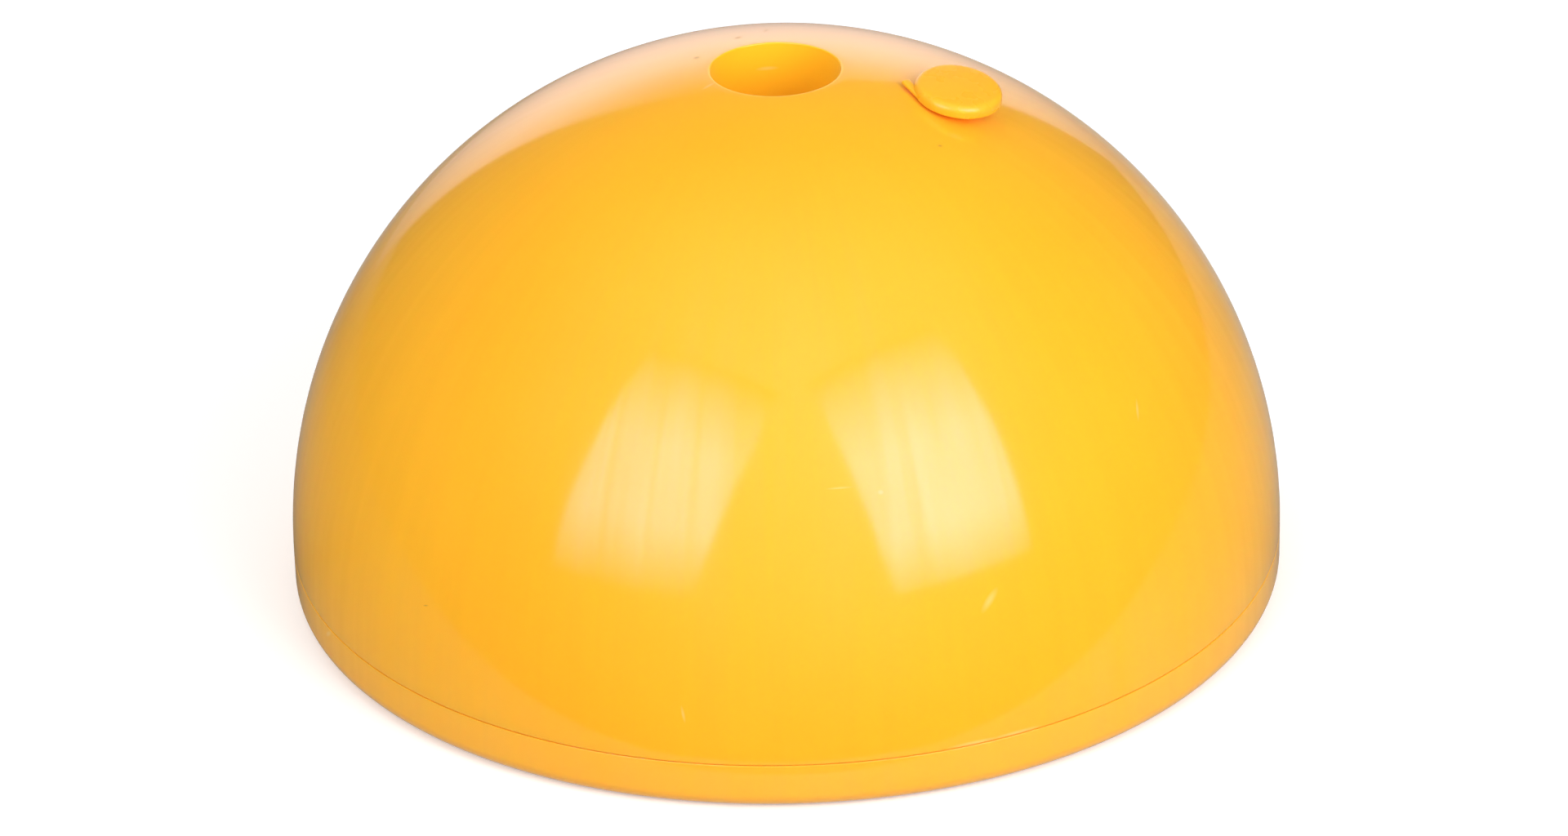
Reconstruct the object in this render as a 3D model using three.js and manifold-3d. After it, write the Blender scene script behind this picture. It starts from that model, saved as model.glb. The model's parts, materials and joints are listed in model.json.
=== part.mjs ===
import * as THREE from 'three';
import { mergeVertices } from 'three/addons/utils/BufferGeometryUtils.js';
import Module from 'manifold-3d';

// A fillable dome base for a slalom pole: a moulded hemisphere with a pole socket in its crown,
// a base pan that closes it from below, and a push-in filler plug beside the socket.
// Millimetres, +Z up, origin at the middle of the underside, filler plug towards +X.

// Dome
const domeRadius = 105; // outside, a true hemisphere that starts at the seam
const domeWall = 2.5;
const mouthRadius = 13.5; // takes a 25 mm pole
const mouthRound = 0.6;

// Seam between dome and base pan
const seamHeight = 10.5;
const seamRound = 0.4; // both edges are broken by this much, which makes the visible line
const lapClearance = 0.3; // between the pan's tongue and the inside of the dome
const tongueHeight = 6;
const tongueWall = 2.2;

// Base pan
const panWall = 2.5;
const panFloor = 2.5;
const toeRadius = 4;
const standRingWidth = 14; // the flat ring that the base stands on
const undersideRecess = 1.5;

// Pole socket
const socketWall = 2.2;
const socketTaper = 0.7; // radius lost from the mouth to the socket's floor
const socketFloor = 3;
const flangeWidth = 6;
const flangeThickness = 2.5;
const seatClearance = 0.3; // around the flange under the crown and around the foot on the pan
const crownLipDepth = 4;
const crownLipWall = 2;
const footRingHeight = 6;
const footRingWall = 2;

// Filler hole and plug
const plugOffset = 23.9; // from the mouth's edge to where the plug's axis meets the dome
const plugTilt = THREE.MathUtils.degToRad(11.3); // from the vertical, less than the dome's own slope there
const plugBearing = THREE.MathUtils.degToRad(-28); // the way that the plug leans, a little aside from straight out
const capRadius = 9.1;
const capThickness = 2.7; // at the rim
const capCrown = 0.25; // rise of the top's middle above its rim
const capTopRound = 1.5;
const capLowerRound = 0.4;
const capClearance = 0.3; // under the rim on the uphill side, where the cap meets the dome
const stemRadius = 4.2;
const stemTaper = 0.5;
const stemReach = 1.5; // how far the stem passes the lower end of the neck
const stemWall = 1.5;
const sealBead = 0.25; // height of the two beads around the stem
const sealBeadWidth = 1.2;
const fillerClearance = 0.4; // between the stem and the filler hole
const neckWall = 1.8;
const neckDepth = 5;

// Pull tab on the plug's rim
const tabRootAngle = THREE.MathUtils.degToRad(211);
const tabHeading = THREE.MathUtils.degToRad(12); // outwards from the rim's tangent
const tabRise = THREE.MathUtils.degToRad(3);
const tabLength = 6;
const tabWidth = 2;
const tabRootWidth = 1.3;
const tabThickness = 0.9;
const tabBase = 0.15; // above the cap's underside

// Facets
const domeSegments = 64;
const domeArcSteps = 16;
const socketSegments = 48;
const plugSegments = 40;
const roundSteps = 4;

// Sizes that follow from the ones above
const innerRadius = domeRadius - domeWall;
const socketTopRadius = mouthRadius + socketWall;
const flangeRadius = socketTopRadius + flangeWidth;
const crownSeatRadius = flangeRadius + seatClearance;
const crownLipRadius = crownSeatRadius + crownLipWall;
const crownSeatHeight = domeHeightAt(innerRadius, crownSeatRadius);
const panFloorTop = undersideRecess + panFloor;
const socketFloorHeight = panFloorTop + socketFloor;
const socketFloorRadius = mouthRadius - socketTaper;
const socketFootRadius = socketFloorRadius + socketWall;
const tongueRadius = Math.sqrt(innerRadius ** 2 - tongueHeight ** 2) - lapClearance;

// The plug's axis meets the outside of the dome at plugSeat. Its lean against the dome's own normal sets
// how far the cap stands off there when its uphill rim just clears the dome, and how thick the wall is.
const plugDistance = mouthRadius + plugOffset;
const domeCentre = new THREE.Vector3(0, 0, seamHeight);
const plugSeat = new THREE.Vector3(plugDistance, 0, domeHeightAt(domeRadius, plugDistance));
const plugUp = new THREE.Vector3(
  Math.sin(plugTilt) * Math.cos(plugBearing),
  Math.sin(plugTilt) * Math.sin(plugBearing),
  Math.cos(plugTilt),
);
const plugLean = plugUp.angleTo(plugSeat.clone().sub(domeCentre));
const axisRise = domeRadius * Math.cos(plugLean); // from the foot of the dome's centre on the axis
const axisOffset = domeRadius * Math.sin(plugLean); // from the dome's centre to the axis
const capStandoff = Math.sqrt((domeRadius + capClearance) ** 2 - (axisOffset - capRadius + capLowerRound) ** 2)
  - axisRise;
const wallOnAxis = axisRise - Math.sqrt(innerRadius ** 2 - axisOffset ** 2);
const fillerRadius = stemRadius + fillerClearance;
const neckRadius = fillerRadius + neckWall;
const neckEnd = wallOnAxis + neckDepth; // below plugSeat, along the axis
const stemLength = capStandoff + neckEnd + stemReach;

// Height of a sphere about the dome's centre at a distance from the part's axis
function domeHeightAt(radius, distance) {
  return seamHeight + Math.sqrt(radius ** 2 - distance ** 2);
}

// Points of an arc in the (radius, height) plane, angles in radians from the outward direction
function arc(centreR, centreZ, radius, from, to, steps) {
  return Array.from({ length: steps + 1 }, (_, i) => {
    const angle = from + (to - from) * i / steps;
    return [centreR + radius * Math.cos(angle), centreZ + radius * Math.sin(angle)];
  });
}

// Solid of revolution about +Z from a (radius, height) outline that runs anticlockwise
function revolve(outline, segments) {
  const points = outline.map(([r, z]) => new THREE.Vector2(r, z));
  return new THREE.LatheGeometry(points, segments).rotateX(Math.PI / 2);
}

// Joins and cuts work on closed solids with shared vertices
const wasm = await Module();
wasm.setup();

function toSolid(geometry) {
  const bare = geometry.clone();
  bare.deleteAttribute('normal');
  bare.deleteAttribute('uv');
  const merged = mergeVertices(bare);
  return new wasm.Manifold(new wasm.Mesh({
    numProp: 3,
    vertProperties: merged.attributes.position.array,
    triVerts: new Uint32Array(merged.index.array),
  }));
}

function toGeometry(solid) {
  const { vertProperties, triVerts } = solid.getMesh();
  const geometry = new THREE.BufferGeometry();
  geometry.setAttribute('position', new THREE.BufferAttribute(vertProperties, 3));
  geometry.setIndex(new THREE.BufferAttribute(triVerts, 1));
  geometry.computeVertexNormals();
  return geometry;
}

// A frame on the plug's axis: its origin is on the dome's surface and +Z points out along the axis
function placeOnPlugAxis(object) {
  object.position.copy(plugSeat);
  object.quaternion.setFromUnitVectors(new THREE.Vector3(0, 0, 1), plugUp);
  object.updateMatrix();
  return object;
}

// Hemisphere with the socket mouth, a flat seat with a locating lip under the crown, and the filler hole
// with a short neck inside
function domeShell() {
  const mouthCentreR = mouthRadius + mouthRound;
  const mouthCentreZ = domeHeightAt(domeRadius - mouthRound, mouthCentreR);
  const mouthAngle = Math.atan2(mouthCentreZ - seamHeight, mouthCentreR);
  const lipAngle = Math.acos(crownLipRadius / innerRadius);
  const shell = [
    [innerRadius, seamHeight],
    [domeRadius - seamRound, seamHeight],
    ...arc(0, seamHeight, domeRadius, Math.asin(seamRound / domeRadius), mouthAngle, domeArcSteps),
    ...arc(mouthCentreR, mouthCentreZ, mouthRound, mouthAngle, Math.PI, roundSteps).slice(1),
    [mouthRadius, crownSeatHeight],
    [crownSeatRadius, crownSeatHeight],
    [crownSeatRadius, crownSeatHeight - crownLipDepth],
    [crownLipRadius, crownSeatHeight - crownLipDepth],
    ...arc(0, seamHeight, innerRadius, lipAngle, 0, domeArcSteps).slice(0, -1),
    [innerRadius, seamHeight],
  ];

  // The neck is a solid plug inside the dome until the filler hole is cut through it
  const neckRise = domeWall + neckRadius;
  const frame = placeOnPlugAxis(new THREE.Object3D());
  const neck = new THREE.CylinderGeometry(neckRadius, neckRadius, neckEnd + neckRise, plugSegments)
    .rotateX(Math.PI / 2)
    .translate(0, 0, (neckRise - neckEnd) / 2)
    .applyMatrix4(frame.matrix);
  const hole = new THREE.CylinderGeometry(fillerRadius, fillerRadius, 2 * (neckEnd + neckRise), plugSegments)
    .rotateX(Math.PI / 2)
    .applyMatrix4(frame.matrix);
  const midWall = new THREE.SphereGeometry(innerRadius + domeWall / 2, domeSegments, domeSegments)
    .rotateX(Math.PI / 2)
    .translate(0, 0, seamHeight);
  const neckInside = toSolid(neck).intersect(toSolid(midWall));
  return toGeometry(toSolid(revolve(shell, domeSegments)).add(neckInside).subtract(toSolid(hole)));
}

// Blind tube with a flange that seats under the crown and a foot that stands on the pan
function poleSocket() {
  const flangeUnder = crownSeatHeight - flangeThickness;
  return revolve([
    [0, panFloorTop],
    [socketFootRadius, panFloorTop],
    [socketTopRadius, flangeUnder],
    [flangeRadius, flangeUnder],
    [flangeRadius, crownSeatHeight],
    [mouthRadius, crownSeatHeight],
    [socketFloorRadius, socketFloorHeight],
    [0, socketFloorHeight],
  ], socketSegments);
}

// Floor with a standing ring, a rounded toe, a band up to the seam, a tongue that laps inside the dome
// and a ring that holds the socket's foot
function basePan() {
  const standOuter = domeRadius - toeRadius;
  const standInner = standOuter - standRingWidth;
  const tongueInner = tongueRadius - tongueWall;
  const wallInner = domeRadius - panWall;
  const shoulder = wallInner - tongueInner;
  const ringInner = socketFootRadius + seatClearance;
  const ringOuter = ringInner + footRingWall;
  return revolve([
    [0, undersideRecess],
    [standInner - undersideRecess, undersideRecess],
    [standInner, 0],
    ...arc(standOuter, toeRadius, toeRadius, -Math.PI / 2, 0, roundSteps),
    [domeRadius, seamHeight - seamRound],
    [domeRadius - seamRound, seamHeight],
    [tongueRadius, seamHeight],
    [tongueRadius, seamHeight + tongueHeight],
    [tongueInner, seamHeight + tongueHeight],
    [tongueInner, seamHeight - panWall],
    [wallInner, seamHeight - panWall - shoulder],
    [wallInner, panFloorTop],
    [ringOuter, panFloorTop],
    [ringOuter, panFloorTop + footRingHeight],
    [ringInner, panFloorTop + footRingHeight],
    [ringInner, panFloorTop],
    [0, panFloorTop],
  ], domeSegments);
}

// Round cap on a hollow tapered stem with two sealing beads, and a pull tab that leaves the rim sideways
function fillerPlug() {
  const stemTip = -stemLength;
  const stemRadiusAt = (z) => stemRadius - stemTaper * z / stemTip;
  const bead = (z) => [
    [stemRadiusAt(z - sealBeadWidth / 2), z - sealBeadWidth / 2],
    [stemRadiusAt(z) + sealBead, z],
    [stemRadiusAt(z + sealBeadWidth / 2), z + sealBeadWidth / 2],
  ];
  const upperBead = -capStandoff - wallOnAxis;
  const lowerBead = upperBead - neckDepth / 2;
  const topRadius = capRadius - capTopRound;
  const crownRadius = (topRadius ** 2 + capCrown ** 2) / (2 * capCrown);
  const crownFrom = Math.acos(topRadius / crownRadius);
  const capAndStem = revolve([
    [0, 0],
    [stemRadius - stemWall, -stemWall],
    [stemRadiusAt(stemTip) - stemWall, stemTip],
    [stemRadiusAt(stemTip), stemTip],
    ...bead(lowerBead),
    ...bead(upperBead),
    [stemRadius, 0],
    ...arc(capRadius - capLowerRound, capLowerRound, capLowerRound, -Math.PI / 2, 0, roundSteps),
    ...arc(topRadius, capThickness - capTopRound, capTopRound, 0, crownFrom, roundSteps),
    ...arc(0, capThickness + capCrown - crownRadius, crownRadius, crownFrom, Math.PI / 2, roundSteps).slice(1, -1),
    [0, capThickness + capCrown],
  ], plugSegments);

  // Drawn along +X from the rim, with the cap's middle on the -Y side, then swung to its place
  const tipRound = tabWidth / 3;
  const outline = new THREE.Shape();
  outline.moveTo(0, -tabRootWidth);
  outline.lineTo(tabLength - tipRound, -tabWidth);
  outline.absarc(tabLength - tipRound, tipRound - tabWidth, tipRound, -Math.PI / 2, 0);
  outline.absarc(tabLength - tipRound, -tipRound, tipRound, 0, Math.PI / 2);
  outline.lineTo(0, 0);
  const tab = new THREE.ExtrudeGeometry(outline, {
    depth: tabThickness,
    bevelEnabled: false,
    curveSegments: roundSteps,
  })
    .rotateY(-tabRise)
    .rotateZ(tabRootAngle - Math.PI / 2 + tabHeading)
    .translate(capRadius * Math.cos(tabRootAngle), capRadius * Math.sin(tabRootAngle), tabBase);
  return toGeometry(toSolid(capAndStem).add(toSolid(tab)));
}

function named(name, geometry, color, roughness) {
  const mesh = new THREE.Mesh(geometry, new THREE.MeshStandardMaterial({ color, roughness, metalness: 0 }));
  mesh.name = name;
  return mesh;
}

const plug = named('filler_plug', fillerPlug(), 0xffc22e, 0.3);
plug.position.z = capStandoff;
const plugAxis = placeOnPlugAxis(new THREE.Group());
plugAxis.add(plug);

const poleBase = new THREE.Group();
poleBase.add(
  named('dome_shell', domeShell(), 0xffc02c, 0.22),
  named('pole_socket', poleSocket(), 0xffb820, 0.3),
  named('base_pan', basePan(), 0xffba2c, 0.25),
  plugAxis,
);

export default poleBase;
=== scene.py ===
import json
import math

import bmesh
import bpy
from mathutils import Matrix, Quaternion, Vector


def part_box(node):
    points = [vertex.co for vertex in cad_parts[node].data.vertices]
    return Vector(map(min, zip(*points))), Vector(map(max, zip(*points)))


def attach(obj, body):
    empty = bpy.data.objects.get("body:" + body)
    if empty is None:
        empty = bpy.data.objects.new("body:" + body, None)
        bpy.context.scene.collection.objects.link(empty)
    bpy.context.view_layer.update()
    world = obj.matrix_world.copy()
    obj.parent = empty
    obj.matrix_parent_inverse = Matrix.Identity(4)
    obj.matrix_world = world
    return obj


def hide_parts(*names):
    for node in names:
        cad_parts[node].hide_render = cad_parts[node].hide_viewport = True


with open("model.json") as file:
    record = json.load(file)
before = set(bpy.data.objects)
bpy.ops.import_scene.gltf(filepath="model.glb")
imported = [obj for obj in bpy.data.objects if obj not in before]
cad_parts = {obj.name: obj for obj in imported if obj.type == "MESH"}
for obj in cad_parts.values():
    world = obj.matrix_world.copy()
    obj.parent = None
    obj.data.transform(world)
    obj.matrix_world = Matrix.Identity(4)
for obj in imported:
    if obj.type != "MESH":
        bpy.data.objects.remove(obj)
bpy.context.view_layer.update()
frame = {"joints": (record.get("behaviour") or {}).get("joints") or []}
mm = 0.001
mergeDistance = 0.002 * mm
scene = bpy.context.scene
scene.view_settings.view_transform = "Standard"
scene.cycles.diffuse_bounces = 10  # light goes on bouncing down the socket

# Sizes of the base that the frame gives
domeLow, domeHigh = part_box("dome_shell")
socketLow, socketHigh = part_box("pole_socket")
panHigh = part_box("base_pan")[1]
domeRadius = domeHigh.x
seamHeight = domeLow.z
crownSeatHeight = socketHigh.z
panFloorTop = socketLow.z
plugAxis = Vector(frame["joints"][0]["axis"]).normalized()
domeCentre = Vector((0, 0, seamHeight))
print("frame: dome radius", round(domeRadius / mm, 2), "mm, seam at", round(seamHeight / mm, 2), "mm")


# Outlines are drawn on the XZ plane as a pen would, with x as the radius, and then spun about Z
def startPen(bm, radius, height):
    return bm.verts.new((radius, 0, height))


def lineTo(bm, pen, radius, height):
    end = bmesh.ops.extrude_vert_indiv(bm, verts=[pen])["verts"][0]
    end.co = (radius, 0, height)
    return end


def arcAbout(bm, pen, radius, height, angle, steps):
    swept = bmesh.ops.spin(bm, geom=[pen], cent=(radius, 0, height), axis=(0, -1, 0), dvec=(0, 0, 0),
                           angle=angle, steps=steps, use_merge=False)  # a positive angle turns up from +X
    return next(part for part in swept["geom_last"] if isinstance(part, bmesh.types.BMVert))


def spinRound(bm, steps):
    bmesh.ops.spin(bm, geom=bm.verts[:] + bm.edges[:], cent=(0, 0, 0), axis=(0, 0, 1), dvec=(0, 0, 0),
                   angle=2 * math.pi, steps=steps, use_merge=True)
    bmesh.ops.remove_doubles(bm, verts=bm.verts, dist=mergeDistance)
    bmesh.ops.recalc_face_normals(bm, faces=bm.faces)


def heightOn(radius, distance):
    return seamHeight + math.sqrt(radius ** 2 - distance ** 2)


def toObject(bm, name):
    mesh = bpy.data.meshes.new(name)
    bm.to_mesh(mesh)
    bm.free()
    made = bpy.data.objects.new(name, mesh)
    scene.collection.objects.link(made)
    return made


# Joins or cuts a piece with a tool body, which is used up
def combine(piece, tool, operation):
    step = piece.modifiers.new(operation, "BOOLEAN")
    step.operation = operation
    step.solver = "EXACT"
    step.object = tool
    mesh = bpy.data.meshes.new_from_object(piece.evaluated_get(bpy.context.evaluated_depsgraph_get()))
    piece.modifiers.clear()
    piece.data = mesh
    bpy.data.objects.remove(tool)


def finishPiece(piece, material, body, node, creaseAngle=38):
    mesh = piece.data
    mesh.materials.clear()
    mesh.materials.append(material)
    mesh.shade_smooth()
    mesh.set_sharp_from_angle(angle=math.radians(creaseAngle))
    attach(piece, body)
    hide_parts(node)
    mesh.calc_loop_triangles()
    print("piece:", piece.name, len(mesh.loop_triangles), "triangles")
    return piece


# Colours are written as sRGB hex values
def linear(hexColour):
    channels = [int(hexColour[i:i + 2], 16) / 255 for i in (1, 3, 5)]
    return [c / 12.92 if c <= 0.04045 else ((c + 0.055) / 1.055) ** 2.4 for c in channels] + [1.0]


def addNode(tree, kind, inputs=None, **settings):
    made = tree.nodes.new("ShaderNode" + kind)
    for name, value in settings.items():
        setattr(made, name, value)
    for key, value in (inputs or {}).items():
        if isinstance(value, bpy.types.NodeSocket):
            tree.links.new(value, made.inputs[key])
        else:
            made.inputs[key].default_value = value
    return made


def newMaterial(name):
    material = bpy.data.materials.new(name)
    material.use_nodes = True
    material.node_tree.nodes.clear()
    return material, material.node_tree


# Spots on the skin, each given by its bearing, its height on the sphere and its turn in degrees, and in mm by
# its length, its width and how far it lies below the sphere. Core and edge are shares of half its size.
spotShape = {"core": 0.3, "edge": 1.3, "depth": 0.4}


def spotMask(tree, place, spots):
    total = addNode(tree, "Value")
    total.outputs[0].default_value = 0.0
    for bearing, height, turn, length, width, below in spots:
        east = Vector((-math.sin(math.radians(bearing)), math.cos(math.radians(bearing)), 0))
        out = Quaternion(east, -math.radians(height)) @ Vector((east.y, -east.x, 0))
        along = Quaternion(out, math.radians(turn)) @ east
        turned = Matrix((along, out.cross(along), out)).transposed().to_euler()
        middle = domeCentre + out * (domeRadius - below * mm)
        reach = Vector((length / 2, width / 2, spotShape["depth"])) * mm
        local = addNode(tree, "Mapping", {"Vector": place, "Location": middle, "Rotation": turned,
                                          "Scale": reach}, vector_type="TEXTURE")
        away = addNode(tree, "VectorMath", {0: local.outputs[0]}, operation="LENGTH")
        spot = addNode(tree, "MapRange", {"Value": away.outputs["Value"], "From Min": spotShape["edge"],
                                          "From Max": spotShape["core"]})
        total = addNode(tree, "Math", {0: total.outputs[0], 1: spot.outputs[0]}, operation="MAXIMUM")
    return total.outputs[0]


noiseLow, noiseHigh = 0.3, 0.7  # most of a noise texture lies between these


# Moulded polyethylene: an even, slightly waxy yellow with a polished skin. The eye gets clear but soft-edged
# reflections, faint upright polishing lines in the highlights, a slow waviness from the mould, and a few
# scuff marks and specks from handling; two long pale marks along the seam are painted highlights, glints on
# the seam's edge. Down the socket the skin is plain, and its colour is painted a little paler, as painted
# light that stands in for the light reaching down the socket.
def mouldedPolyethylene(name, look):
    material, tree = newMaterial(name)
    place = addNode(tree, "TexCoord").outputs["Object"]
    flat = addNode(tree, "VectorMath", {0: place, 1: (1, 1, 0)}, operation="MULTIPLY")
    radius = addNode(tree, "VectorMath", {0: flat.outputs[0]}, operation="LENGTH")
    skin = addNode(tree, "MapRange", {"Value": radius.outputs["Value"], "From Min": look["throatEnd"] * mm,
                                      "From Max": look["skinStart"] * mm})

    drift = addNode(tree, "TexNoise", {"Vector": place, "Scale": 1 / (look["driftSize"] * mm), "Detail": 2.0})
    outside = addNode(tree, "Mix", {0: drift.outputs["Fac"], 6: linear(look["deep"]),
                                    7: linear(look["pale"])}, data_type="RGBA")
    # painted light: down the socket the colour is paler, standing in for the light that reaches down there
    colour = addNode(tree, "Mix", {0: skin.outputs[0], 6: linear(look["throat"]), 7: outside.outputs[2]},
                     data_type="RGBA")
    # pale scuff marks and a scratch down the socket, plus two marks along the seam that are painted
    # highlights
    scuffsAndSeamGlints = spotMask(tree, place, look["scuffsAndSeamGlints"])
    scuffedAndGlinted = addNode(tree, "Math", {0: scuffsAndSeamGlints, 1: look["scuffAndGlintShare"]}, operation="MULTIPLY")
    colour = addNode(tree, "Mix", {0: scuffedAndGlinted.outputs[0], 6: colour.outputs[2],
                                   7: linear(look["scuffAndGlintTint"])}, data_type="RGBA")
    specks = spotMask(tree, place, look["specks"])
    specked = addNode(tree, "Math", {0: specks, 1: look["speckShare"]}, operation="MULTIPLY")
    colour = addNode(tree, "Mix", {0: specked.outputs[0], 6: colour.outputs[2],
                                   7: linear(look["speckTint"])}, data_type="RGBA")
    coated = addNode(tree, "MapRange", {"Value": specks, "To Min": 1.0, "To Max": look["speckPolish"]})

    # polishing lines run up the dome, so they vary with the bearing from the axis and hardly with height
    bearing = addNode(tree, "VectorMath", {0: flat.outputs[0]}, operation="NORMALIZE")
    around = addNode(tree, "VectorMath", {0: bearing.outputs[0], 3: domeRadius}, operation="SCALE")
    climb = addNode(tree, "VectorMath", {0: place, 1: (0, 0, look["lineStretch"])}, operation="MULTIPLY")
    linePlace = addNode(tree, "VectorMath", {0: around.outputs[0], 1: climb.outputs[0]}, operation="ADD")
    streaks = addNode(tree, "TexNoise", {"Vector": linePlace.outputs[0], "Detail": 3.0, "Roughness": 0.6,
                                         "Scale": 1 / (look["lineSpacing"] * mm)})
    offCrown = addNode(tree, "MapRange", {"Value": radius.outputs["Value"],
                                          "From Min": look["linesFrom"] * domeRadius,
                                          "From Max": look["linesFull"] * domeRadius})
    lines = addNode(tree, "Mix", {0: offCrown.outputs[0], 2: 0.5, 3: streaks.outputs["Fac"]})

    wave = addNode(tree, "TexNoise", {"Vector": place, "Scale": 1 / (look["waveSize"] * mm), "Detail": 1.0})
    swell = addNode(tree, "Math", {0: wave.outputs["Fac"], 1: look["waveHeight"] * mm}, operation="MULTIPLY")
    height = addNode(tree, "Math", {0: lines.outputs[0], 1: look["lineDepth"] * mm, 2: swell.outputs[0]},
                     operation="MULTIPLY_ADD")
    bump = addNode(tree, "Bump", {"Height": height.outputs[0], "Distance": 1.0}).outputs[0]

    haze = addNode(tree, "MapRange", {"Value": lines.outputs[0], "From Min": noiseLow, "From Max": noiseHigh,
                                      "To Min": look["haze"] - look["hazeSpread"],
                                      "To Max": look["haze"] + look["hazeSpread"]})
    polish = addNode(tree, "MapRange", {"Value": lines.outputs[0], "From Min": noiseLow,
                                        "From Max": noiseHigh, "To Min": look["ior"] - look["streaks"],
                                        "To Max": look["ior"] + look["streaks"]})
    glow = addNode(tree, "Math", {0: skin.outputs[0], 1: look["glow"]}, operation="MULTIPLY")
    shader = addNode(tree, "BsdfPrincipled", {
        "Base Color": colour.outputs[2], "Normal": bump, "Roughness": haze.outputs[0], "IOR": look["ior"],
        "Specular IOR Level": look["hazeLevel"],
        "Coat Weight": coated.outputs[0], "Coat IOR": polish.outputs[0], "Coat Roughness": look["roughness"],
        "Coat Normal": bump,
        "Sheen Weight": look["dust"], "Sheen Roughness": look["dustRoughness"],
        "Sheen Tint": linear(look["dustTint"]),
        "Subsurface Weight": glow.outputs[0], "Subsurface Scale": 1.0,
        "Subsurface Radius": [depth * mm for depth in look["glowDepth"]]})
    addNode(tree, "OutputMaterial", {"Surface": shader.outputs[0]})
    return material


# Dome: a hemisphere from the seam up, with the mouth of the pole socket in its crown
dome = {"wall": 2.5 * mm, "mouth": 13.5 * mm, "mouthRound": 0.25 * mm, "seamRound": 0.15 * mm,
        "seamGap": 0.12 * mm, "seamDepth": 0.4 * mm, "seatRadius": 22.0 * mm, "lipDepth": 4 * mm,
        "lipWall": 2 * mm, "arcSteps": 90, "innerSteps": 40, "roundSteps": 6, "segments": 192}
filler = {"offset": 37.4 * mm, "hole": 4.6 * mm, "neckWall": 1.8 * mm, "neckDepth": 5 * mm,
          "edgeRound": 0.6 * mm, "roundSteps": 6, "segments": 96}
fillerSeat = Vector((filler["offset"], 0, heightOn(domeRadius, filler["offset"])))
fillerTurn = Vector((0, 0, 1)).rotation_difference(plugAxis)
fillerFrame = Matrix.Translation(fillerSeat) @ fillerTurn.to_matrix().to_4x4()
fillerLean = plugAxis.angle(fillerSeat - domeCentre)
axisRise = domeRadius * math.cos(fillerLean)
axisOffset = domeRadius * math.sin(fillerLean)
wallOnAxis = axisRise - math.sqrt((domeRadius - dome["wall"]) ** 2 - axisOffset ** 2)
neckEnd = wallOnAxis + filler["neckDepth"]


def makeDome():
    innerRadius = domeRadius - dome["wall"]
    edge = dome["seamRound"]
    lowEdge = seamHeight + dome["seamGap"]
    roundRadius = dome["mouth"] + dome["mouthRound"]
    roundHeight = heightOn(domeRadius - dome["mouthRound"], roundRadius)
    seamAngle = math.asin((dome["seamGap"] + edge) / domeRadius)
    mouthAngle = math.atan2(roundHeight - seamHeight, roundRadius)
    lipRadius = dome["seatRadius"] + dome["lipWall"]
    lipAngle = math.acos(lipRadius / innerRadius)
    bm = bmesh.new()
    first = startPen(bm, innerRadius, seamHeight)
    pen = lineTo(bm, first, domeRadius - dome["seamDepth"], seamHeight)
    pen = lineTo(bm, pen, domeRadius - dome["seamDepth"], lowEdge)
    pen = lineTo(bm, pen, domeRadius - edge, lowEdge)
    pen = arcAbout(bm, pen, domeRadius - edge, lowEdge + edge, math.pi / 2, dome["roundSteps"])
    pen = arcAbout(bm, pen, 0, seamHeight, mouthAngle - seamAngle, dome["arcSteps"])
    pen = arcAbout(bm, pen, roundRadius, roundHeight, math.pi - mouthAngle, dome["roundSteps"])
    pen = lineTo(bm, pen, dome["mouth"], crownSeatHeight)
    pen = lineTo(bm, pen, dome["seatRadius"], crownSeatHeight)
    pen = lineTo(bm, pen, dome["seatRadius"], crownSeatHeight - dome["lipDepth"])
    pen = lineTo(bm, pen, lipRadius, crownSeatHeight - dome["lipDepth"])
    pen = lineTo(bm, pen, lipRadius, heightOn(innerRadius, lipRadius))
    pen = arcAbout(bm, pen, 0, seamHeight, -lipAngle, dome["innerSteps"])
    bm.edges.new((pen, first))
    spinRound(bm, dome["segments"])
    return toObject(bm, "dome_skin")


# Height of the dome's outside over a point of the filler's own frame, along its axis
def domeOver(x, y):
    fromCentre = fillerFrame @ Vector((x, y, 0)) - domeCentre
    along = fromCentre.dot(plugAxis)
    return math.sqrt(along ** 2 - fromCentre.length_squared + domeRadius ** 2) - along


# The neck runs from the middle of the wall down into the dome
def makeNeck():
    bm = bmesh.new()
    radius = filler["hole"] + filler["neckWall"]
    bmesh.ops.create_cone(bm, cap_ends=True, segments=filler["segments"], radius1=radius, radius2=radius,
                          depth=neckEnd, matrix=Matrix.Translation((0, 0, -neckEnd / 2)))
    for vert in bm.verts:
        if vert.co.z > -neckEnd / 2:
            vert.co.z = domeOver(vert.co.x, vert.co.y) - dome["wall"] / 2
    bmesh.ops.transform(bm, matrix=fillerFrame, verts=bm.verts)
    return toObject(bm, "neck")


# The cutter for the hole flares where it leaves the dome, so that the hole's edge comes out round
def makeHoleCutter():
    soft = filler["edgeRound"]
    bm = bmesh.new()
    pen = startPen(bm, 0, -2 * neckEnd)
    pen = lineTo(bm, pen, filler["hole"], -2 * neckEnd)
    pen = lineTo(bm, pen, filler["hole"], -soft)
    pen = arcAbout(bm, pen, filler["hole"] + soft, -soft, -math.pi / 2, filler["roundSteps"])
    pen = lineTo(bm, pen, filler["hole"] + soft, neckEnd)
    lineTo(bm, pen, 0, neckEnd)
    spinRound(bm, filler["segments"])
    for vert in bm.verts:
        if -2 * soft < vert.co.z < soft:
            vert.co.z += domeOver(vert.co.x, vert.co.y)
    bmesh.ops.transform(bm, matrix=fillerFrame, verts=bm.verts)
    return toObject(bm, "hole")


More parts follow.
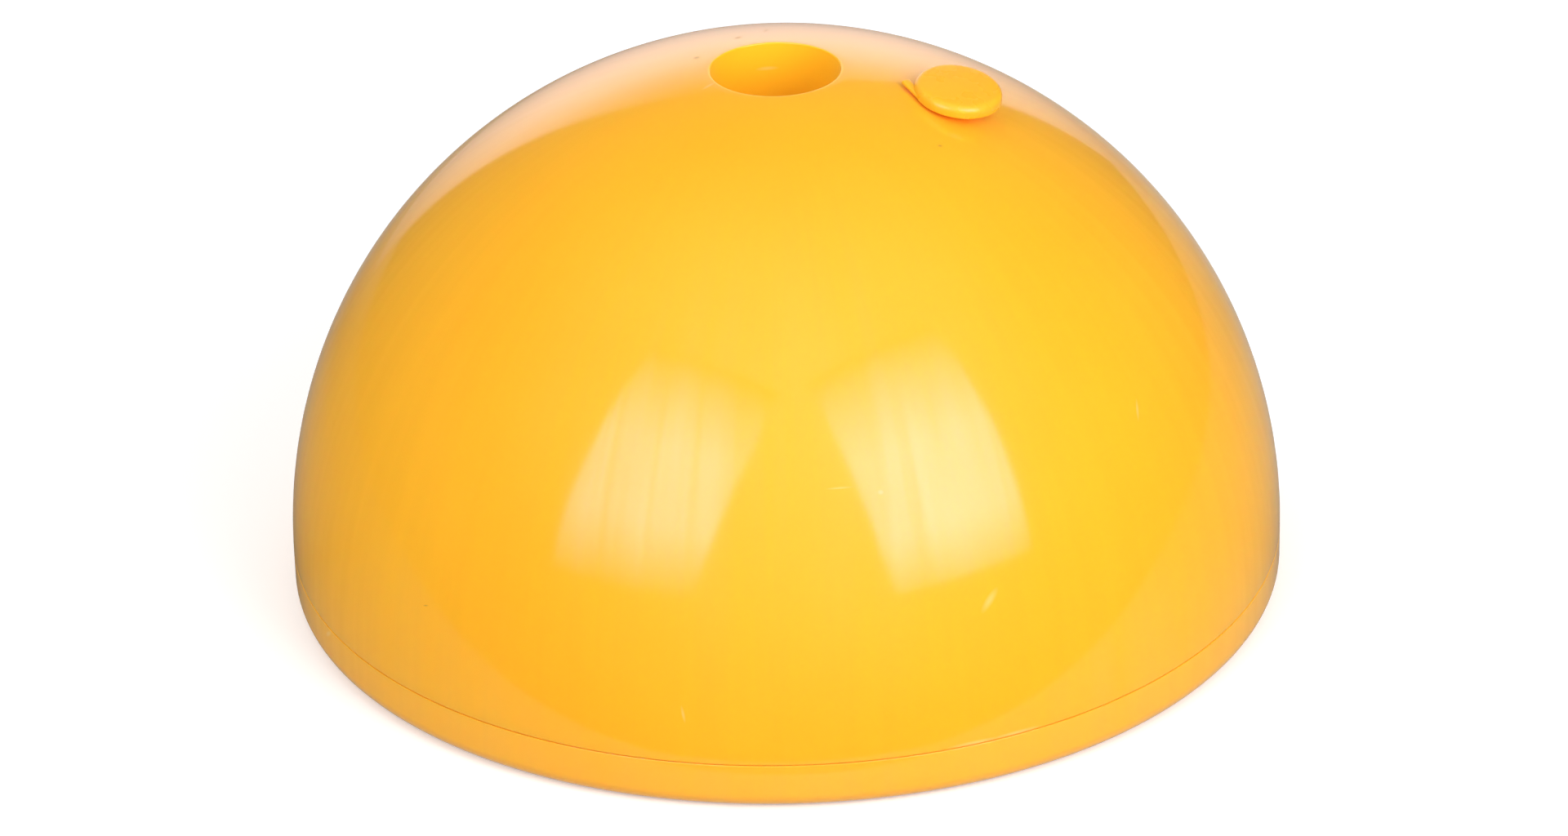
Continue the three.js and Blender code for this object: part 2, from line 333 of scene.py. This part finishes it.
# Lengths in mm. The throat is the socket's wall, which starts inside the mouth.
domeLook = {"deep": "#FAAB1B", "pale": "#FCB325", "driftSize": 45, "lineSpacing": 5.5, "lineStretch": 0.06,
            "lineDepth": 0.012, "linesFrom": 0.2, "linesFull": 0.7, "streaks": 0.1, "waveSize": 55,
            "waveHeight": 0.1, "ior": 1.51, "roughness": 0.1, "haze": 0.5, "hazeSpread": 0.08,
            "hazeLevel": 0.05, "dust": 0.13, "dustRoughness": 0.4, "dustTint": "#FFE0BC", "glow": 0.3,
            # the throat colour is painted light: paler than the outside, standing in for light reaching down
            # the socket
            "glowDepth": (4.0, 2.0, 0.5), "throat": "#FFC428", "throatEnd": 13.6, "skinStart": 14.1,
            "scuffAndGlintShare": 0.25, "scuffAndGlintTint": "#FFE2A4",
            "scuffsAndSeamGlints": ((-29.0, 30.0, -118, 3.9, 0.7, 0), (-57.2, 16.3, 47, 4.9, 1.5, 0),
                       (-73.7, 30.8, 0, 4.5, 0.4, 0), (-68.6, 29.9, -7, 1.1, 0.9, 0),
                       (-92.2, 5.9, -79, 3.2, 0.6, 0), (-143, 81.5, 104, 3.2, 0.8, 0),
                       # the two long marks at height 0.25 along the seam are painted highlights, glints on
                       # the seam's edge
                       (-145.7, -0.9, 35, 3.4, 1.0, 0), (-60.2, 0.25, 0, 10, 0.8, 0),
                       (-55.1, 0.25, 0, 10, 0.8, 0), (107.0, 82.2, 0, 4.4, 1.0, 5.7)),
            "speckShare": 0.55, "speckTint": "#A0762F", "speckPolish": 0.4,
            "specks": ((121.4, 78.7, 136, 1.5, 2.0, 0), (162.5, 80.0, 155, 1.5, 1.4, 0),
                       (-26.3, 67.2, -32, 1.1, 0.7, 0), (-125.5, 11.2, 19, 1.4, 0.3, 0),
                       (103.6, 76.4, 163, 0.8, 3.2, 0))}
domePiece = makeDome()
combine(domePiece, makeNeck(), "UNION")
combine(domePiece, makeHoleCutter(), "DIFFERENCE")
finishPiece(domePiece, mouldedPolyethylene("moulded polyethylene, dome", domeLook), "base", "dome_shell")


# Pole socket: a blind tube that hangs under the crown and stands on the pan
socket = {"wall": 2.2 * mm, "taper": 0.7 * mm, "floor": 3 * mm, "flange": 6 * mm, "flangeThickness": 2.5 * mm,
          "floorRound": 1.2 * mm, "roundSteps": 5, "segments": 192}


def makeSocket():
    topRadius = dome["mouth"] + socket["wall"]
    floorRadius = dome["mouth"] - socket["taper"]
    footRadius = floorRadius + socket["wall"]
    flangeRadius = topRadius + socket["flange"]
    under = crownSeatHeight - socket["flangeThickness"]
    floorHeight = panFloorTop + socket["floor"]
    soft = socket["floorRound"]
    bm = bmesh.new()
    pen = startPen(bm, 0, panFloorTop)
    for radius, height in ((footRadius, panFloorTop), (topRadius, under), (flangeRadius, under),
                           (flangeRadius, crownSeatHeight), (dome["mouth"], crownSeatHeight),
                           (floorRadius, floorHeight + soft)):
        pen = lineTo(bm, pen, radius, height)
    pen = arcAbout(bm, pen, floorRadius - soft, floorHeight + soft, -math.pi / 2, socket["roundSteps"])
    lineTo(bm, pen, 0, floorHeight)
    spinRound(bm, socket["segments"])
    return toObject(bm, "socket_skin")


finishPiece(makeSocket(), mouldedPolyethylene("moulded polyethylene, socket", domeLook), "base",
            "pole_socket")


# Base pan: standing ring, rounded toe, low upright band, and the tongue that laps inside the dome
pan = {"wall": 2.5 * mm, "toe": 4 * mm, "ring": 14 * mm, "recess": 1.5 * mm, "lap": 0.3 * mm,
       "tongueWall": 2.2 * mm, "footGap": 0.3 * mm, "footRing": 2 * mm, "footRingHeight": 6 * mm,
       "toeSteps": 10, "roundSteps": 6, "segments": 192}
standOuter = domeRadius - pan["toe"]


def makePan():
    standInner = standOuter - pan["ring"]
    tongueTop = panHigh.z
    innerRadius = domeRadius - dome["wall"]
    tongueOuter = math.sqrt(innerRadius ** 2 - (tongueTop - seamHeight) ** 2) - pan["lap"]
    tongueInner = tongueOuter - pan["tongueWall"]
    wallInner = domeRadius - pan["wall"]
    shoulder = seamHeight - pan["wall"]
    ringInner = dome["mouth"] - socket["taper"] + socket["wall"] + pan["footGap"]
    ringOuter = ringInner + pan["footRing"]
    ringTop = panFloorTop + pan["footRingHeight"]
    edge = dome["seamRound"]
    highEdge = seamHeight - dome["seamGap"]
    grooveRadius = domeRadius - dome["seamDepth"]
    bm = bmesh.new()
    pen = startPen(bm, 0, pan["recess"])
    pen = lineTo(bm, pen, standInner - pan["recess"], pan["recess"])
    pen = lineTo(bm, pen, standInner, 0)
    pen = lineTo(bm, pen, standOuter, 0)
    pen = arcAbout(bm, pen, standOuter, pan["toe"], math.pi / 2, pan["toeSteps"])
    pen = lineTo(bm, pen, domeRadius, highEdge - edge)
    pen = arcAbout(bm, pen, domeRadius - edge, highEdge - edge, math.pi / 2, pan["roundSteps"])
    for radius, height in ((grooveRadius, highEdge), (grooveRadius, seamHeight), (tongueOuter, seamHeight),
                           (tongueOuter, tongueTop), (tongueInner, tongueTop), (tongueInner, shoulder),
                           (wallInner, shoulder - wallInner + tongueInner), (wallInner, panFloorTop),
                           (ringOuter, panFloorTop), (ringOuter, ringTop), (ringInner, ringTop),
                           (ringInner, panFloorTop), (0, panFloorTop)):
        pen = lineTo(bm, pen, radius, height)
    spinRound(bm, pan["segments"])
    return toObject(bm, "pan_skin")


# The pan has no throat, so its skin starts at the axis
panLook = {**domeLook, "deep": "#FAAC26", "pale": "#FCB430", "throatEnd": -0.9, "skinStart": -0.4}
finishPiece(makePan(), mouldedPolyethylene("moulded polyethylene, pan", panLook), "base", "base_pan")


# Filler plug: round cap on a hollow stem, with a pull tab that leaves the rim sideways
plug = {"cap": 9.1 * mm, "thickness": 2.7 * mm, "crown": 0.25 * mm, "topRound": 1.5 * mm,
        "lowerRound": 0.4 * mm, "clearance": 0.3 * mm, "stem": 4.2 * mm, "stemTaper": 0.5 * mm,
        "stemReach": 1.5 * mm, "stemWall": 1.5 * mm, "bead": 0.25 * mm, "beadWidth": 1.2 * mm,
        "roundSteps": 10, "lowerSteps": 4, "crownSteps": 12, "segments": 128}
tab = {"root": math.radians(211), "heading": math.radians(12), "rise": math.radians(3), "length": 6 * mm,
       "width": 2 * mm, "rootWidth": 1.3 * mm, "thickness": 0.9 * mm, "base": 0.15 * mm,
       "edgeRound": 0.35 * mm, "edgeSteps": 3}


def makePlug():
    offsetAtRim = axisOffset - plug["cap"] + plug["lowerRound"]
    standoff = math.sqrt((domeRadius + plug["clearance"]) ** 2 - offsetAtRim ** 2) - axisRise
    tip = -(standoff + neckEnd + plug["stemReach"])
    upperBead = -standoff - wallOnAxis
    lowerBead = upperBead - filler["neckDepth"] / 2
    half = plug["beadWidth"] / 2

    def stemAt(height):
        return plug["stem"] - plug["stemTaper"] * height / tip
    bm = bmesh.new()
    pen = startPen(bm, 0, 0)
    pen = lineTo(bm, pen, plug["stem"] - plug["stemWall"], -plug["stemWall"])
    pen = lineTo(bm, pen, stemAt(tip) - plug["stemWall"], tip)
    pen = lineTo(bm, pen, stemAt(tip), tip)
    for bead in (lowerBead, upperBead):
        pen = lineTo(bm, pen, stemAt(bead - half), bead - half)
        pen = lineTo(bm, pen, stemAt(bead) + plug["bead"], bead)
        pen = lineTo(bm, pen, stemAt(bead + half), bead + half)
    rimRadius = plug["cap"] - plug["lowerRound"]
    pen = lineTo(bm, pen, plug["stem"], 0)
    pen = lineTo(bm, pen, rimRadius, 0)
    pen = arcAbout(bm, pen, rimRadius, plug["lowerRound"], math.pi / 2, plug["lowerSteps"])
    shoulder = plug["thickness"] - plug["topRound"]
    pen = lineTo(bm, pen, plug["cap"], shoulder)
    topRadius = plug["cap"] - plug["topRound"]
    crownRadius = (topRadius ** 2 + plug["crown"] ** 2) / (2 * plug["crown"])
    crownCentre = plug["thickness"] + plug["crown"] - crownRadius
    pen = arcAbout(bm, pen, topRadius, shoulder, math.acos(topRadius / crownRadius), plug["roundSteps"])
    arcAbout(bm, pen, 0, crownCentre, math.atan2(pen.co.x, pen.co.z - crownCentre), plug["crownSteps"])
    spinRound(bm, plug["segments"])
    inPlace = fillerFrame @ Matrix.Translation((0, 0, standoff))
    bmesh.ops.transform(bm, matrix=inPlace, verts=bm.verts)
    piece = toObject(bm, "plug_skin")
    combine(piece, makeTab(inPlace), "UNION")
    return piece


# A flat tongue, wider at its free end, with its edges broken
def makeTab(inPlace):
    bm = bmesh.new()
    bmesh.ops.create_cube(bm, size=1)
    bmesh.ops.translate(bm, vec=(0.5, -0.5, 0.5), verts=bm.verts)
    bmesh.ops.scale(bm, vec=(tab["length"], tab["width"], tab["thickness"]), verts=bm.verts)
    for vert in bm.verts:
        if vert.co.x < tab["length"] / 2 and vert.co.y < -tab["width"] / 2:
            vert.co.y = -tab["rootWidth"]
    bmesh.ops.bevel(bm, geom=bm.edges[:], offset=tab["edgeRound"], segments=tab["edgeSteps"], profile=0.5,
                    affect="EDGES", material=-1, clamp_overlap=True)
    rimPoint = Vector((plug["cap"] * math.cos(tab["root"]), plug["cap"] * math.sin(tab["root"]), tab["base"]))
    swing = Matrix.Rotation(tab["root"] - math.pi / 2 + tab["heading"], 4, "Z")
    lift = Matrix.Rotation(-tab["rise"], 4, "Y")
    bmesh.ops.transform(bm, matrix=inPlace @ Matrix.Translation(rimPoint) @ swing @ lift, verts=bm.verts)
    return toObject(bm, "tab")


# Soft low-density polyethylene, moulded against a fine matt tool: a satin skin with a broad, quiet highlight
# and a grain too fine to see, drawn here a few times coarser
def softPolyethylene(name, look):
    material, tree = newMaterial(name)
    place = addNode(tree, "TexCoord").outputs["Object"]
    drift = addNode(tree, "TexNoise", {"Vector": place, "Scale": 1 / (look["driftSize"] * mm), "Detail": 2.0})
    colour = addNode(tree, "Mix", {0: drift.outputs["Fac"], 6: linear(look["deep"]),
                                   7: linear(look["pale"])}, data_type="RGBA")
    grain = addNode(tree, "TexNoise", {"Vector": place, "Scale": 1 / (look["grainSize"] * mm), "Detail": 2.0})
    satin = addNode(tree, "MapRange", {"Value": drift.outputs["Fac"], "From Min": noiseLow,
                                       "From Max": noiseHigh,
                                       "To Min": look["roughness"] - look["roughnessSpread"],
                                       "To Max": look["roughness"] + look["roughnessSpread"]})
    height = addNode(tree, "Math", {0: grain.outputs["Fac"], 1: look["grainDepth"] * mm},
                     operation="MULTIPLY")
    bump = addNode(tree, "Bump", {"Height": height.outputs[0], "Distance": 1.0})
    shader = addNode(tree, "BsdfPrincipled", {
        "Base Color": colour.outputs[2], "Roughness": satin.outputs[0], "IOR": look["ior"],
        "Normal": bump.outputs[0], "Subsurface Weight": look["glow"], "Subsurface Scale": 1.0,
        "Subsurface Radius": [depth * mm for depth in look["glowDepth"]]})
    addNode(tree, "OutputMaterial", {"Surface": shader.outputs[0]})
    return material


plugLook = {"deep": "#FAB020", "pale": "#FCB829", "driftSize": 6, "grainSize": 0.35, "grainDepth": 0.0006,
            "ior": 1.51, "roughness": 0.28, "roughnessSpread": 0.03, "glow": 0.3,
            "glowDepth": (4.0, 2.0, 0.5)}
finishPiece(makePlug(), softPolyethylene("moulded soft polyethylene, plug", plugLook), "plug", "filler_plug")


# Camera at the photograph's angle
shot = {"bearing": math.radians(9.6), "elevation": math.radians(26.578), "distance": 1.26,
        "from": Vector((0, 0, 0.05)), "aim": Vector((0, 0, 0.0339)), "roll": math.radians(-1.411),
        "lens": 137.47, "sensor": 36, "nearest": 0.05, "farthest": 50}
squareToCamera = Matrix.Rotation(shot["bearing"], 4, "Z")  # the set stands square to the camera


def aroundObject(bearing, elevation, distance):
    return Vector((math.sin(bearing) * math.cos(elevation), -math.cos(bearing) * math.cos(elevation),
                   math.sin(elevation))) * distance


def makeCamera():
    data = bpy.data.cameras.new("camera")
    data.sensor_fit = "HORIZONTAL"
    data.sensor_width = shot["sensor"]
    data.lens = shot["lens"]
    data.clip_start = shot["nearest"]
    data.clip_end = shot["farthest"]
    camera = bpy.data.objects.new("camera", data)
    scene.collection.objects.link(camera)
    camera.location = shot["from"] + aroundObject(shot["bearing"], shot["elevation"], shot["distance"])
    camera.rotation_mode = "QUATERNION"
    aim = (shot["aim"] - camera.location).to_track_quat("-Z", "Y")
    camera.rotation_quaternion = aim @ Quaternion((0, 0, 1), shot["roll"])
    scene.camera = camera


makeCamera()


# Stage: white table under the base, pale floor beyond it, a white card behind and two soft boxes in front
paper = {"seen": "#E7E7E7", "glow": 0.3, "bounce": "#CACACA", "mirroredLeft": 0.09, "mirroredRight": 0.23,
         "mirroredNear": 0.28, "nearFrom": 0.12, "nearTo": 0.3, "mirroredBehind": 0.15, "behindFrom": 0.72,
         "behindTo": 0.92, "mirroredFront": 0.40, "underRadius": standOuter - 0.2 * mm, "floorSize": 8.0,
         "floorDrop": 0.3 * mm, "tableRadius": 0.794, "tableFront": 0.122, "tableDrop": 0.1 * mm,
         "segments": 180}


# The camera sees white paper. What the paper gives back to the base is dimmer. Its mirror image is dimmest on
# the left, and brighter in front of the base, close behind it and far behind it. Under the base, and seen
# from below, the paper is clear, so that the underside is lit.
def floorPaper():
    material, tree = newMaterial("white paper, floor")
    path = addNode(tree, "LightPath")
    side = addNode(tree, "NewGeometry")
    place = addNode(tree, "VectorMath", {0: side.outputs["Position"], 1: (1, 1, 0)}, operation="MULTIPLY")
    across = addNode(tree, "VectorMath", {0: place.outputs[0], 1: squareToCamera @ Vector((1, 0, 0))},
                     operation="DOT_PRODUCT")
    base = addNode(tree, "MapRange", {"Value": across.outputs["Value"], "From Min": -domeRadius,
                                      "From Max": domeRadius, "To Min": paper["mirroredLeft"],
                                      "To Max": paper["mirroredRight"]})
    bearing = addNode(tree, "VectorMath", {0: place.outputs[0]}, operation="NORMALIZE")
    behind = addNode(tree, "VectorMath", {0: bearing.outputs[0], 1: squareToCamera @ Vector((0, 1, 0))},
                     operation="DOT_PRODUCT")
    away = addNode(tree, "VectorMath", {0: place.outputs[0]}, operation="LENGTH")
    near = addNode(tree, "MapRange", {"Value": away.outputs["Value"], "From Min": paper["nearFrom"],
                                      "From Max": paper["nearTo"], "To Min": paper["mirroredNear"],
                                      "To Max": 0.0})
    forward = addNode(tree, "Math", {0: behind.outputs["Value"], 1: 0.0}, operation="MAXIMUM")
    nearBehind = addNode(tree, "Math", {0: near.outputs[0], 1: forward.outputs[0], 2: base.outputs[0]},
                         operation="MULTIPLY_ADD")
    farBehind = addNode(tree, "MapRange", {"Value": behind.outputs["Value"], "From Min": paper["behindFrom"],
                                           "From Max": paper["behindTo"], "To Max": paper["mirroredBehind"]})
    inFront = addNode(tree, "MapRange", {"Value": behind.outputs["Value"], "From Min": 0.0, "From Max": -1.0,
                                         "To Max": paper["mirroredFront"]})
    mirrored = addNode(tree, "Math", {0: nearBehind.outputs[0], 1: farBehind.outputs[0]}, operation="ADD")
    mirrored = addNode(tree, "Math", {0: mirrored.outputs[0], 1: inFront.outputs[0]}, operation="ADD")

    bounce = addNode(tree, "Mix", {0: path.outputs["Is Glossy Ray"], 6: linear(paper["bounce"]),
                                   7: (0, 0, 0, 1)}, data_type="RGBA")
    seen = addNode(tree, "Mix", {0: path.outputs["Is Camera Ray"], 6: bounce.outputs[2],
                                 7: linear(paper["seen"])}, data_type="RGBA")
    matt = addNode(tree, "BsdfDiffuse", {"Color": seen.outputs[2]})
    image = addNode(tree, "Math", {0: path.outputs["Is Glossy Ray"], 1: mirrored.outputs[0]},
                    operation="MULTIPLY")
    level = addNode(tree, "Math", {0: path.outputs["Is Camera Ray"], 1: paper["glow"], 2: image.outputs[0]},
                    operation="MULTIPLY_ADD")
    glow = addNode(tree, "Emission", {"Strength": level.outputs[0]})
    lit = addNode(tree, "AddShader", {0: matt.outputs[0], 1: glow.outputs[0]})
    clear = addNode(tree, "BsdfTransparent")
    covered = addNode(tree, "Math", {0: away.outputs["Value"], 1: paper["underRadius"]},
                      operation="LESS_THAN")
    unseen = addNode(tree, "Math", {0: side.outputs["Backfacing"], 1: covered.outputs[0]},
                     operation="MAXIMUM")
    oneSided = addNode(tree, "MixShader", {0: unseen.outputs[0], 1: lit.outputs[0], 2: clear.outputs[0]})
    addNode(tree, "OutputMaterial", {"Surface": oneSided.outputs[0]})
    return material


def makeFloor():
    material = floorPaper()
    bm = bmesh.new()
    bmesh.ops.create_grid(bm, x_segments=1, y_segments=1, size=paper["floorSize"] / 2)
    floor = toObject(bm, "floor")
    floor.location.z = -paper["floorDrop"]
    floor.visible_glossy = False
    bm = bmesh.new()
    bmesh.ops.create_circle(bm, cap_ends=True, segments=paper["segments"], radius=paper["tableRadius"])
    table = toObject(bm, "table")
    tableMiddle = Vector((0, paper["tableRadius"] - paper["tableFront"], -paper["tableDrop"]))
    table.location = squareToCamera @ tableMiddle
    for sheet in (floor, table):
        sheet.data.materials.append(material)


# Bright cloth of a soft box or card, clear from behind. Each fade runs along an axis, from where it is at its
# least to where it is full. The mirror image has a colour of its own, and what the cloth throws on the base
# is a share of that level.
def lightPanel(name, level, litShare, mirrored, fades):
    material, tree = newMaterial(name)
    side = addNode(tree, "NewGeometry")
    path = addNode(tree, "LightPath")
    place = addNode(tree, "SeparateXYZ", {0: addNode(tree, "TexCoord").outputs["Object"]})
    strength = addNode(tree, "MapRange", {"Value": path.outputs["Is Glossy Ray"], "To Min": level * litShare,
                                          "To Max": level})
    for axis, least, full, leastShare in fades:
        fade = addNode(tree, "MapRange", {"Value": place.outputs[axis], "From Min": least, "From Max": full,
                                          "To Min": leastShare, "To Max": 1.0})
        strength = addNode(tree, "Math", {0: strength.outputs[0], 1: fade.outputs[0]}, operation="MULTIPLY")
    tint = addNode(tree, "Mix", {0: path.outputs["Is Glossy Ray"], 6: (1, 1, 1, 1), 7: linear(mirrored)},
                   data_type="RGBA")
    glow = addNode(tree, "Emission", {"Color": tint.outputs[2], "Strength": strength.outputs[0]})
    clear = addNode(tree, "BsdfTransparent")
    oneSided = addNode(tree, "MixShader", {0: side.outputs["Backfacing"], 1: glow.outputs[0],
                                           2: clear.outputs[0]})
    addNode(tree, "OutputMaterial", {"Surface": oneSided.outputs[0]})
    return material


card = {"back": 0.4, "aside": -0.06, "leftWidth": 0.228, "rightWidth": 0.287, "height": 0.39, "segments": 96,
        "level": 1.6, "litShare": 1, "mirrored": "#F2EDFD",
        "fades": (("X", -0.225, -0.1, 0.6), ("X", 0.31, 0.14, 0.42), ("Y", 0.02, 0.15, 0.34),
                  ("Y", 0.37, 0.22, 0.14))}


def makeCard():
    bm = bmesh.new()
    bmesh.ops.create_circle(bm, cap_ends=True, segments=card["segments"], radius=1)
    for vert in bm.verts:
        vert.co.x *= card["leftWidth"] if vert.co.x < 0 else card["rightWidth"]
        vert.co.y *= card["height"]
    sheet = toObject(bm, "card")
    standing = Matrix.Translation((card["aside"], card["back"], 0)) @ Matrix.Rotation(math.pi / 2, 4, "X")
    sheet.matrix_world = squareToCamera @ standing
    sheet.data.materials.append(lightPanel("white card", card["level"], card["litShare"], card["mirrored"],
                                           card["fades"]))
    sheet.visible_camera = False


softBoxes = {"left": {"bearing": -33, "elevation": 30, "distance": 0.8, "width": 0.48, "top": 0.41,
                      "bottom": 0.34, "lean": -0.16, "level": 6.3, "litShare": 0.66, "mirrored": "#EDD3FF",
                      "fades": (("X", -0.24, 0, 0.8), ("X", 0.24, 0, 0.65), ("Y", -0.41, -0.1, 0.05),
                                ("Y", 0.34, 0.12, 0.1))},
             "right": {"bearing": 38, "elevation": 30, "distance": 0.8, "width": 0.49, "top": 0.43,
                       "bottom": 0.34, "lean": 0.03, "level": 8.1, "litShare": 0.98, "mirrored": "#EDD3FF",
                       "fades": (("X", -0.26, 0, 0.62), ("X", 0.245, 0, 0.6), ("Y", -0.43, -0.08, 0.04),
                                 ("Y", 0.34, 0.16, 0.3))}}


def makeSoftBoxes():
    for name, box in softBoxes.items():
        bm = bmesh.new()
        bmesh.ops.create_grid(bm, x_segments=1, y_segments=1, size=1)
        for vert in bm.verts:
            vert.co.y *= box["top"] if vert.co.y < 0 else box["bottom"]
            vert.co.x = vert.co.x * box["width"] / 2 + vert.co.y * box["lean"]
        panel = toObject(bm, "soft_box_" + name)
        out = aroundObject(math.radians(box["bearing"]) + shot["bearing"], math.radians(box["elevation"]), 1)
        panel.location = shot["from"] + out * box["distance"]
        panel.rotation_euler = out.to_track_quat("Z", "Y").to_euler()
        panel.rotation_euler.rotate_axis("X", math.pi)  # the panel's Y now points down
        panel.data.materials.append(lightPanel("soft box " + name, box["level"], box["litShare"],
                                               box["mirrored"], box["fades"]))
        panel.visible_camera = False


room = {"level": 0.40, "above": 0.76, "behind": 0.41, "behindAside": math.radians(-130), "mirrored": 0.03,
        "front": 0.95, "frontAside": math.radians(5), "frontUp": math.radians(50), "frontFrom": 0.17,
        "frontFull": 0.98, "frontPower": 2.0}


# The camera sees white. The base is lit more from above and from behind on the left, and mirrors a dim room
# with a glow in front.
def makeRoom():
    world = bpy.data.worlds.new("studio")
    world.use_nodes = True
    tree = world.node_tree
    tree.nodes.clear()
    path = addNode(tree, "LightPath")
    direction = addNode(tree, "TexCoord").outputs["Generated"]
    upwards = addNode(tree, "SeparateXYZ", {0: direction})
    light = addNode(tree, "MapRange", {"Value": upwards.outputs["Z"], "To Min": room["level"],
                                       "To Max": room["above"]})
    backLeft = aroundObject(shot["bearing"] + room["behindAside"], 0, 1)
    behind = addNode(tree, "VectorMath", {0: direction, 1: backLeft}, operation="DOT_PRODUCT")
    backdrop = addNode(tree, "Math", {0: behind.outputs["Value"], 1: 0.0}, operation="MAXIMUM")
    lit = addNode(tree, "Math", {0: backdrop.outputs[0], 1: room["behind"], 2: light.outputs[0]},
                  operation="MULTIPLY_ADD")
    front = aroundObject(shot["bearing"] + room["frontAside"], room["frontUp"], 1)
    facing = addNode(tree, "VectorMath", {0: direction, 1: front}, operation="DOT_PRODUCT")
    nearness = addNode(tree, "MapRange", {"Value": facing.outputs["Value"], "From Min": room["frontFrom"],
                                          "From Max": room["frontFull"]})
    swell = addNode(tree, "Math", {0: nearness.outputs[0], 1: room["frontPower"]}, operation="POWER")
    mirrored = addNode(tree, "Math", {0: swell.outputs[0], 1: room["front"], 2: room["mirrored"]},
                       operation="MULTIPLY_ADD")
    given = addNode(tree, "MapRange", {"Value": path.outputs["Is Glossy Ray"], "To Min": lit.outputs[0],
                                       "To Max": mirrored.outputs[0]})
    level = addNode(tree, "MapRange", {"Value": path.outputs["Is Camera Ray"], "To Min": given.outputs[0],
                                       "To Max": 1.0})
    back = addNode(tree, "Background", {"Color": (1, 1, 1, 1), "Strength": level.outputs[0]})
    addNode(tree, "OutputWorld", {"Surface": back.outputs[0]})
    scene.world = world


makeFloor()
makeCard()
makeSoftBoxes()
makeRoom()
print("stage: floor, card, soft boxes and room")
